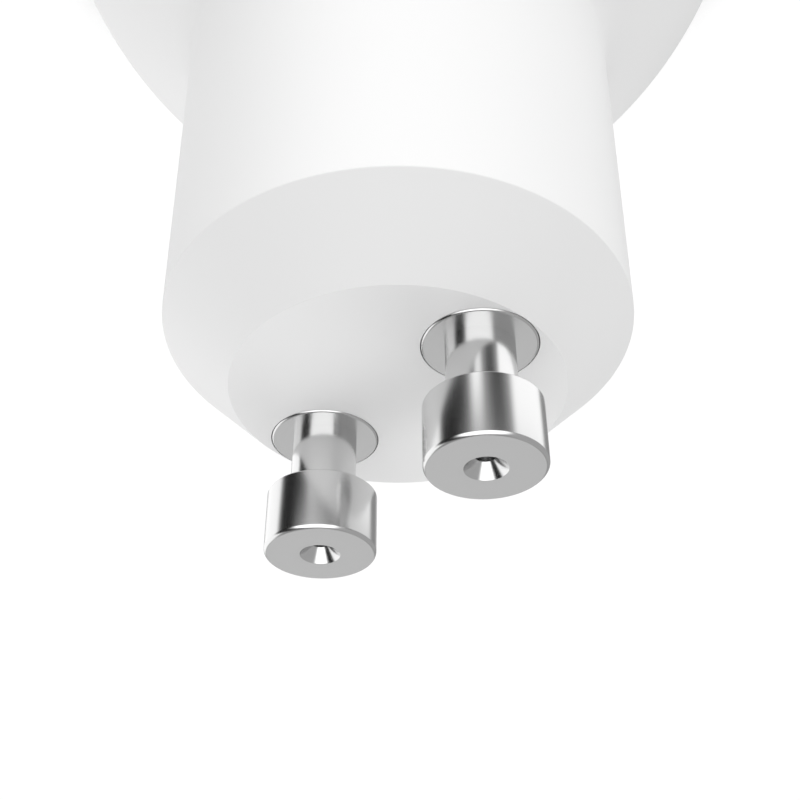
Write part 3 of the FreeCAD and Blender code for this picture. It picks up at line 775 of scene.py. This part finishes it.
def led_board():
    """White mask over copper, tinned pads round the leads and a bare metal edge."""
    material, nodes, shader = new_material("white_board")
    place = nodes.millimetres()
    grain = nodes.noise(place, WHITE_MASK.grains)
    flat = nodes.vector("MULTIPLY", place, (1, 1, 0))
    ring = nodes.math("ABSOLUTE", nodes.math("SUBTRACT", nodes.length(flat), EMITTER_R))
    copper = nodes.spread(ring, *COPPER_HALF_WIDTH)
    pads = nodes.math("ADD", *(nodes.near(flat, (x, 0, 0), PAD_R, PAD_SOFT) for x in (-PASSAGE, PASSAGE)))
    edge = nodes.spread(nodes.facing((0, 0, 1)), *EDGE_FACING)
    bare = nodes.math("MAXIMUM", pads, edge)
    mask = nodes.tint(copper, WHITE_MASK.dark, WHITE_MASK.light)
    nodes.colour(shader, nodes.tint(bare, mask, BARE_METAL))
    nodes.join(bare, shader.inputs["Metallic"])
    nodes.roughen(shader, grain, WHITE_MASK)
    nodes.relief(shader, nodes.math("MULTIPLY_ADD", grain, MASK_GRAIN, copper), WHITE_MASK)
    return material


CLEAR_IOR = 1.49


def clear_plastic():
    """Clear moulding with a trace of flow in its surface."""
    material, nodes, shader = new_material("clear_plastic")
    flow = nodes.noise(nodes.millimetres(), CLEAR.grains, CLOUD_DETAIL)
    nodes.roughen(shader, flow, CLEAR)
    nodes.relief(shader, flow, CLEAR)
    shader.inputs["Base Color"].default_value = (*CLEAR_TONE, 1)
    shader.inputs["Transmission Weight"].default_value = 1
    shader.inputs["IOR"].default_value = CLEAR_IOR
    return material


# The driver board: its cells of track a millimetre, the tracks' edges in a cell, and its bare fibre.
TRACK_CELLS = 0.4
TRACK_EDGE = (0.22, 0.2)
FIBRE_DARK = (0.42, 0.40, 0.18)
FIBRE_LIGHT = (0.55, 0.52, 0.27)


def driver_board():
    """Green mask over branching tracks, with bare fibre at the edges."""
    material, nodes, shader = new_material("green_board")
    place = nodes.millimetres()
    cells = nodes.add("TexVoronoi")
    cells.feature = "DISTANCE_TO_EDGE"
    nodes.join(nodes.vector("MULTIPLY", place, (1, 0, 1)), cells.inputs["Vector"])
    cells.inputs["Scale"].default_value = TRACK_CELLS
    tracks = nodes.spread(cells.outputs["Distance"], *TRACK_EDGE)
    grain = nodes.noise(place, GREEN_MASK.grains)
    edge = nodes.spread(nodes.facing((0, 1, 0)), *EDGE_FACING)
    mask = nodes.tint(tracks, GREEN_MASK.dark, GREEN_MASK.light)
    fibre = nodes.tint(grain, FIBRE_DARK, FIBRE_LIGHT)
    nodes.colour(shader, nodes.tint(edge, mask, fibre))
    nodes.roughen(shader, grain, GREEN_MASK)
    nodes.relief(shader, tracks, GREEN_MASK)
    return material


# The capacitor's can: half its stripe in radians, and how far its bare ends face up or down.
STRIPE_HALF_ANGLE = (0.42, 0.38)
STRIPE_TONE = (0.55, 0.56, 0.58)
CAN_END_FACING = (0.8, 0.9)
CAN_TONE = (0.75, 0.75, 0.76)


def can_sleeve():
    """A dark shrunk sleeve with one pale stripe down it, and the can's bare ends."""
    material, nodes, shader = new_material("can_sleeve")
    angle = nodes.math("ABSOLUTE", nodes.math("ARCTAN2", *nodes.off_middle()))
    stripe = nodes.spread(angle, *STRIPE_HALF_ANGLE)
    end = nodes.spread(nodes.facing((0, 0, 1)), *CAN_END_FACING)
    grain = nodes.noise(nodes.millimetres(), SLEEVE.grains)
    film = nodes.tint(grain, SLEEVE.dark, SLEEVE.light)
    nodes.colour(shader, nodes.tint(end, nodes.tint(stripe, film, STRIPE_TONE), CAN_TONE))
    nodes.join(end, shader.inputs["Metallic"])
    nodes.roughen(shader, grain, SLEEVE)
    nodes.relief(shader, grain, SLEEVE)
    return material


# The dimple that marks the chip's first leg, in shares of its box.
DIMPLE_PLACE = (0.18, 1.0, 0.18)
DIMPLE_R = 0.08
DIMPLE_SOFT = 0.02
DIMPLE_TONE = (0.06, 0.06, 0.06)


def chip():
    """Black moulding compound with a dimple at one corner."""
    material, nodes, shader = new_material("black_compound")
    grain = nodes.noise(nodes.millimetres(), COMPOUND.grains)
    dimple = nodes.near(nodes.place("Generated"), DIMPLE_PLACE, DIMPLE_R, DIMPLE_SOFT)
    dull = nodes.tint(grain, COMPOUND.dark, COMPOUND.light)
    nodes.colour(shader, nodes.tint(dimple, dull, DIMPLE_TONE))
    nodes.roughen(shader, grain, COMPOUND)
    nodes.relief(shader, nodes.math("SUBTRACT", grain, dimple), COMPOUND)
    return material


# The coloured bands of a coated resistor: where each starts along it, and its colour.
FUSE_BANDS = {
    0.2: (0.22, 0.09, 0.03),
    0.37: (0.01, 0.01, 0.01),
    0.54: (0.45, 0.03, 0.02),
    0.74: (0.50, 0.36, 0.06),
}
FUSE_BAND_WIDTH = 0.07


def fuse_coat():
    """A lacquered resistor with plain bands of colour."""
    material, nodes, shader = new_material("fuse_coat")
    stops = [(0, LACQUER_TONE)]
    for start, colour in FUSE_BANDS.items():
        stops += [(start, colour), (start + FUSE_BAND_WIDTH, LACQUER_TONE)]
    ramp = nodes.add("ValToRGB")
    ramp.color_ramp.interpolation = "CONSTANT"
    nodes.join(nodes.parts(nodes.place("Generated"))[0], ramp.inputs[0])
    elements = ramp.color_ramp.elements
    while len(elements) < len(stops):
        elements.new(1)
    for element, (start, colour) in zip(elements, stops):
        element.position = start
        element.color = (*colour, 1)
    grain = nodes.noise(nodes.millimetres(), LACQUER.grains)
    nodes.colour(shader, ramp.outputs["Color"])
    nodes.roughen(shader, grain, LACQUER)
    nodes.relief(shader, grain, LACQUER)
    return material


def finishes():
    """The material of each of the record's slots."""
    return {
        "housing_white": plastic(),
        "contact_metal": turned("turned_nickel", NICKEL),
        "spreader_metal": turned("stamped_aluminium", ALUMINIUM),
        "led_board_white": led_board(),
        "emitter": emitter(),
        "screw_steel": turned("plated_steel", STEEL),
        "lens_clear": clear_plastic(),
        "driver_green": driver_board(),
        "lead_tin": mottled("tinned_wire", TIN, metallic=1),
        "can_sleeve": can_sleeve(),
        "ferrite": mottled("ferrite", FERRITE),
        "copper_wire": mottled("lacquered_copper", COPPER, metallic=1),
        "film_box": mottled("yellow_box", FILM_BOX),
        "chip_black": chip(),
        "fuse_coat": fuse_coat(),
    }


# Rounded edges of the block-shaped nodes, in millimetres.
BLOCK_BEVELS = {
    "driver_board": 0.1,
    "film_capacitor": 0.3,
    "bridge_rectifier": 0.2,
    "driver_chip": 0.12,
}
BLOCK_BEVEL_STEPS = 3


def soften(node, width):
    """Rounds a block's edges, its points joined first."""
    weld = node.modifiers.new("join_points", "WELD")
    weld.merge_threshold = WELD * MM
    bevel = node.modifiers.new("round_edges", "BEVEL")
    bevel.width = width * MM
    bevel.segments = BLOCK_BEVEL_STEPS
    bevel.limit_method = "ANGLE"


# The camera, in millimetres from the axis and above the cap's face. Its picture shows the part upside down.
CAMERA_AZIMUTH = math.radians(46.314)
CAMERA_TILT = math.radians(35.053)
CAMERA_OUT = 41.67
CAMERA_ABOVE_FACE = 29.461
CAMERA_NEAREST = 1.0
FOCAL_LENGTH = 51.39
SENSOR = 36.0
SHIFT_X = 0.0025
TO_CAMERA = Vector((-math.sin(CAMERA_AZIMUTH), -math.cos(CAMERA_AZIMUTH), 0))
PICTURE_RIGHT = Vector((TO_CAMERA.y, -TO_CAMERA.x, 0))


def make_camera():
    """The photo's view."""
    back = TO_CAMERA * math.cos(CAMERA_TILT) + Vector((0, 0, math.sin(CAMERA_TILT)))
    up = back.cross(PICTURE_RIGHT)
    turn = Matrix((PICTURE_RIGHT, up, back)).transposed()
    data = bpy.data.cameras.new("view")
    data.lens = FOCAL_LENGTH
    data.sensor_width = SENSOR
    data.shift_x = SHIFT_X
    data.clip_start = CAMERA_NEAREST * MM
    camera = bpy.data.objects.new("view", data)
    place = TO_CAMERA * CAMERA_OUT + Vector((0, 0, BODY_HEIGHT + CAMERA_ABOVE_FACE))
    camera.matrix_world = Matrix.Translation(place * MM) @ turn.to_4x4()
    bpy.context.scene.collection.objects.link(camera)
    bpy.context.scene.camera = camera


# The table. Its size is in metres, and its gap under the rim in millimetres.
TABLE_HALF = 3.0
TABLE_GAP = 0.02
TABLE_TONE = (0.8, 0.8, 0.8, 1)
# How much the table glows round the part, and in metres where that glow sets in and where it fades. Inside
# the set-in the glow is left out, which paints a darker ring on the floor round the part's foot, on top of
# its real contact shadow.
TABLE_GLOW = 0.25
PAINTED_FOOT_SHADE_REACH = (0.023, 0.031)
GLOW_FADE = (1.5, 0.3)


def table_finish():
    """A pale matt top that is clear from below. Its glow is left out round the part's foot as a painted
    shade.
    """
    material, nodes, shader = new_material("pale_floor")
    shader.inputs["Base Color"].default_value = TABLE_TONE
    shader.inputs["Roughness"].default_value = 1
    shader.inputs["Specular IOR Level"].default_value = 0
    shader.inputs["Emission Color"].default_value = (1, 1, 1, 1)
    out = nodes.length(nodes.place())
    glow_and_painted_shade = TABLE_GLOW
    # The glow fades in away from the rim, so a painted shade darkens the floor round the part's foot, and
    # fades out far off.
    for ends in (PAINTED_FOOT_SHADE_REACH, GLOW_FADE):
        glow_and_painted_shade = nodes.math("MULTIPLY", glow_and_painted_shade, nodes.spread(out, *ends, smooth=True))
    nodes.join(glow_and_painted_shade, shader.inputs["Emission Strength"])
    clear = nodes.add("BsdfTransparent").outputs[0]
    behind = nodes.add("NewGeometry").outputs["Backfacing"]
    nodes.surface(nodes.mix_shader(behind, shader.outputs[0], clear))
    return material


def make_floor():
    """A pale table that neither shows in the metal or the lens nor lights the part."""
    mesh = bmesh.new()
    bmesh.ops.create_grid(mesh, x_segments=1, y_segments=1, size=TABLE_HALF)
    data = bpy.data.meshes.new("floor")
    mesh.to_mesh(data)
    mesh.free()
    data.materials.append(table_finish())
    floor = bpy.data.objects.new("floor", data)
    floor.location.z = -TABLE_GAP * MM
    bpy.context.scene.collection.objects.link(floor)
    floor.visible_diffuse = False
    floor.visible_glossy = False
    floor.visible_transmission = False
    floor.visible_shadow = False


class Panel(NamedTuple):
    """A soft panel of the studio. Its edges are in degrees: left and right round the upright axis, counted
    from the camera towards the picture's right, and bottom and top from the horizon. So is the width over
    which each edge falls off. The level is its strength."""

    left: float
    right: float
    bottom: float
    top: float
    soft: float
    level: float


BACKDROP = 0.8
# An angle past every other, for a panel without an edge on that side.
ALL = 360
# What lights the matt surfaces.
MATT_PANELS = {
    "front": Panel(-66, 66, -20, ALL, 40, 1.28),
    "front_low": Panel(-66, 66, -75, -20, 40, 2.5),
    "left_side": Panel(-112, -66, -20, ALL, 40, 0.52),
    "left_back": Panel(-165, -112, 25, ALL, 40, 1.7),
    "left_back_low": Panel(-178, -122, -5, 25, 40, 4.6),
    "right_side": Panel(66, 112, -20, ALL, 40, 0.6),
    "right_back": Panel(112, 180, -20, ALL, 40, 1.6),
    "right_low": Panel(66, 180, -75, -20, 40, 0.9),
}
# What the metal mirrors and the lens lets in.
GLOSS_PANELS = {
    "even": Panel(-ALL, ALL, -ALL, ALL, 1, 0.375),
    "front": Panel(-52, 38, -20, 75, 16, 1.94),
    "left": Panel(-152, -91, -60, 42, 12, 1.31),
    "right": Panel(44, 150, -20, 70, 24, 0.2),
    "right_low": Panel(50, 125, -80, -26, 14, 1.4),
    "front_low": Panel(-27, -5, -60, -34, 16, 1.6),
    "below": Panel(-ALL, ALL, -ALL, -60, 10, 1.5),
    "back_left": Panel(-ALL, -158, -ALL, ALL, 14, 0.455),
    "back_right": Panel(158, ALL, -ALL, ALL, 14, 0.455),
}
# Dark cloths before those panels. The level is the share of the light that a cloth holds back.
GLOSS_CLOTHS = {
    "left": Panel(-89, -52, -ALL, ALL, 16, 1.0),
    "left_low": Panel(-70, -34, -ALL, -22, 30, 1.0),
    "front_low": Panel(9, 36, -60, -24, 18, 0.8),
}


def panel_level(nodes, turn, rise, panel):
    """A panel's level towards one way, falling off over its soft edge."""
    level = panel.level
    half = panel.soft / 2
    for angle, low, high in ((turn, panel.left, panel.right), (rise, panel.bottom, panel.top)):
        level = nodes.math("MULTIPLY", level, nodes.spread(angle, low - half, low + half, True))
        level = nodes.math("MULTIPLY", level, nodes.spread(angle, high + half, high - half, True))
    return level


def studio(nodes, turn, rise, panels, cloths):
    """The light from one way: the panels' levels added up, less what the cloths hold back."""
    total = 0
    for panel in panels.values():
        total = nodes.math("ADD", total, panel_level(nodes, turn, rise, panel))
    for cloth in cloths.values():
        passed = nodes.math("SUBTRACT", 1, panel_level(nodes, turn, rise, cloth))
        total = nodes.math("MULTIPLY", total, passed)
    light = nodes.add("Background")
    nodes.join(total, light.inputs["Strength"])
    return light.outputs[0]


def make_world():
    """Broad soft panels that light the part, the same studio as the metal shows it, and a plain backdrop."""
    world = bpy.data.worlds.new("studio")
    bpy.context.scene.world = world
    world.use_nodes = True
    nodes = Nodes(world.node_tree)
    plain = nodes.add("Background")
    plain.inputs["Color"].default_value = (1, 1, 1, 1)
    plain.inputs["Strength"].default_value = BACKDROP
    way = nodes.place("Generated")
    angle = nodes.math("ARCTAN2", nodes.dot(way, PICTURE_RIGHT), nodes.dot(way, TO_CAMERA))
    turn = nodes.math("DEGREES", angle)
    rise = nodes.math("DEGREES", nodes.math("ARCSINE", nodes.dot(way, (0, 0, 1))))
    matt = studio(nodes, turn, rise, MATT_PANELS, {})
    gloss = studio(nodes, turn, rise, GLOSS_PANELS, GLOSS_CLOTHS)
    rays = nodes.add("LightPath").outputs
    lit = nodes.mix_shader(rays["Is Glossy Ray"], matt, gloss)
    nodes.surface(nodes.mix_shader(rays["Is Camera Ray"], lit, plain.outputs[0]))


make_camera()
make_world()
make_floor()
bpy.context.scene.view_settings.view_transform = "Standard"

pieces = [make_housing(), make_screws(), make_winding()]
for side, x in (("left", -PIN_X), ("right", PIN_X)):
    pieces.append(make_pin(side, x))
    pieces.append(make_solder(side))
materials = finishes()
for piece in pieces:
    piece.data.materials.append(materials[piece["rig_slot"]])
    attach(piece, ROOT)
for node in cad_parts.values():
    for slot in node.material_slots:
        slot.material = materials[slot.material.name]
for name, width in BLOCK_BEVELS.items():
    soften(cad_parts[name], width)
